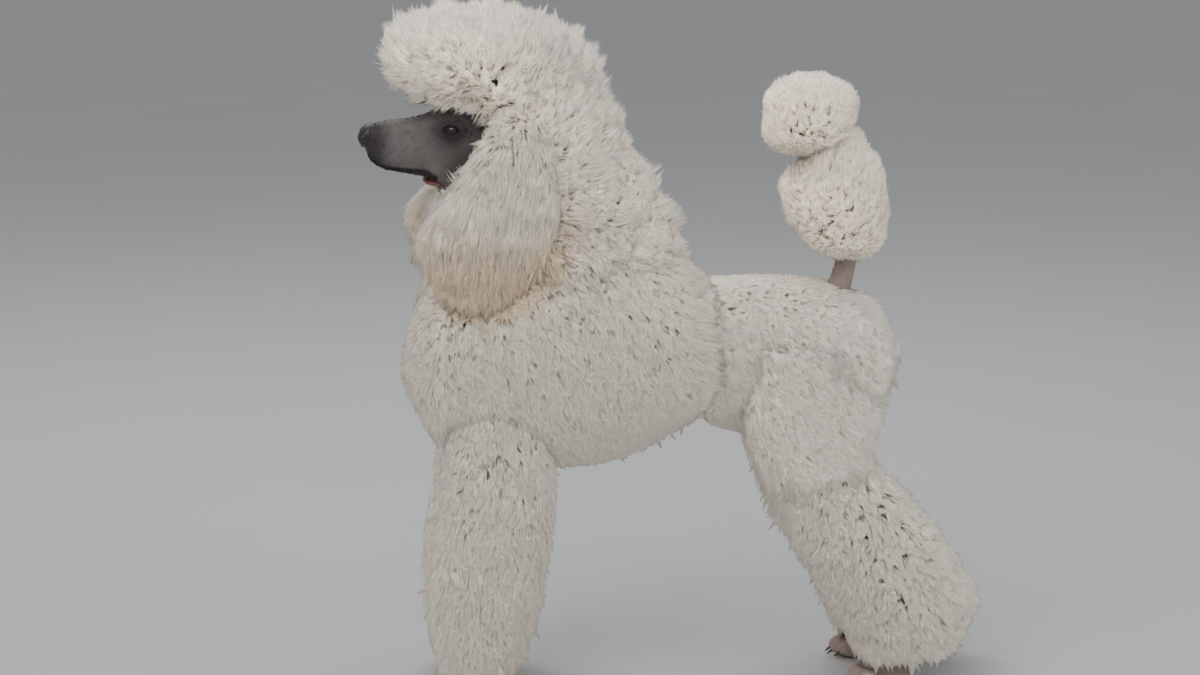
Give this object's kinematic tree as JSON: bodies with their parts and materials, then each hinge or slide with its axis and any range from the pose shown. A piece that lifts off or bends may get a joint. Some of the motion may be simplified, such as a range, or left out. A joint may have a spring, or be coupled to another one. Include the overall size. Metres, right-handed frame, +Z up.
{
  "type": "standard poodle dog, museum model",
  "caption": "Still life-size white standard poodle in show trim, standing square with its tail held up, on flat-soled feet.",
  "frame": {"origin": "on the floor, under the middle of the body's length and width", "axes": "+Z up, -X towards the nose, -Y towards the animal's left side"},
  "size_m": [0.8754, 0.308, 0.9922],
  "materials": {
    "coat": "soft matte curly hair, white",
    "ear_coat": "soft matte long hair, cream",
    "face_skin": "shaved silver-grey skin, satin",
    "bare_skin": "shaved pink-grey skin, satin",
    "nose_leather": "moist black",
    "tongue": "moist red",
    "eye": "glossy dark brown",
    "horn": "dark horn, satin"
  },
  "bodies": {
    "root": {"head": "face_skin", "topknot": "coat", "nose": "nose_leather", "tongue": "tongue", "eye_left": "eye", "eye_right": "eye", "ear_left": "ear_coat", "ear_right": "ear_coat", "neck": "coat", "torso_front": "coat", "torso_rear": "coat", "foreleg_left": "coat", "foreleg_right": "coat", "thigh_left": "coat", "thigh_right": "coat", "lower_hindleg_left": "coat", "lower_hindleg_right": "coat", "forefoot_left": "bare_skin", "forefoot_right": "bare_skin", "hindfoot_left": "bare_skin", "hindfoot_right": "bare_skin", "forefoot_left_claw_1": "horn", "forefoot_left_claw_2": "horn", "forefoot_left_claw_3": "horn", "forefoot_left_claw_4": "horn", "forefoot_right_claw_1": "horn", "forefoot_right_claw_2": "horn", "forefoot_right_claw_3": "horn", "forefoot_right_claw_4": "horn", "hindfoot_left_claw_1": "horn", "hindfoot_left_claw_2": "horn", "hindfoot_left_claw_3": "horn", "hindfoot_left_claw_4": "horn", "hindfoot_right_claw_1": "horn", "hindfoot_right_claw_2": "horn", "hindfoot_right_claw_3": "horn", "hindfoot_right_claw_4": "horn", "tail_root": "bare_skin", "tail_plume": "coat", "tail_tip": "coat"}
  },
  "joints": []
}
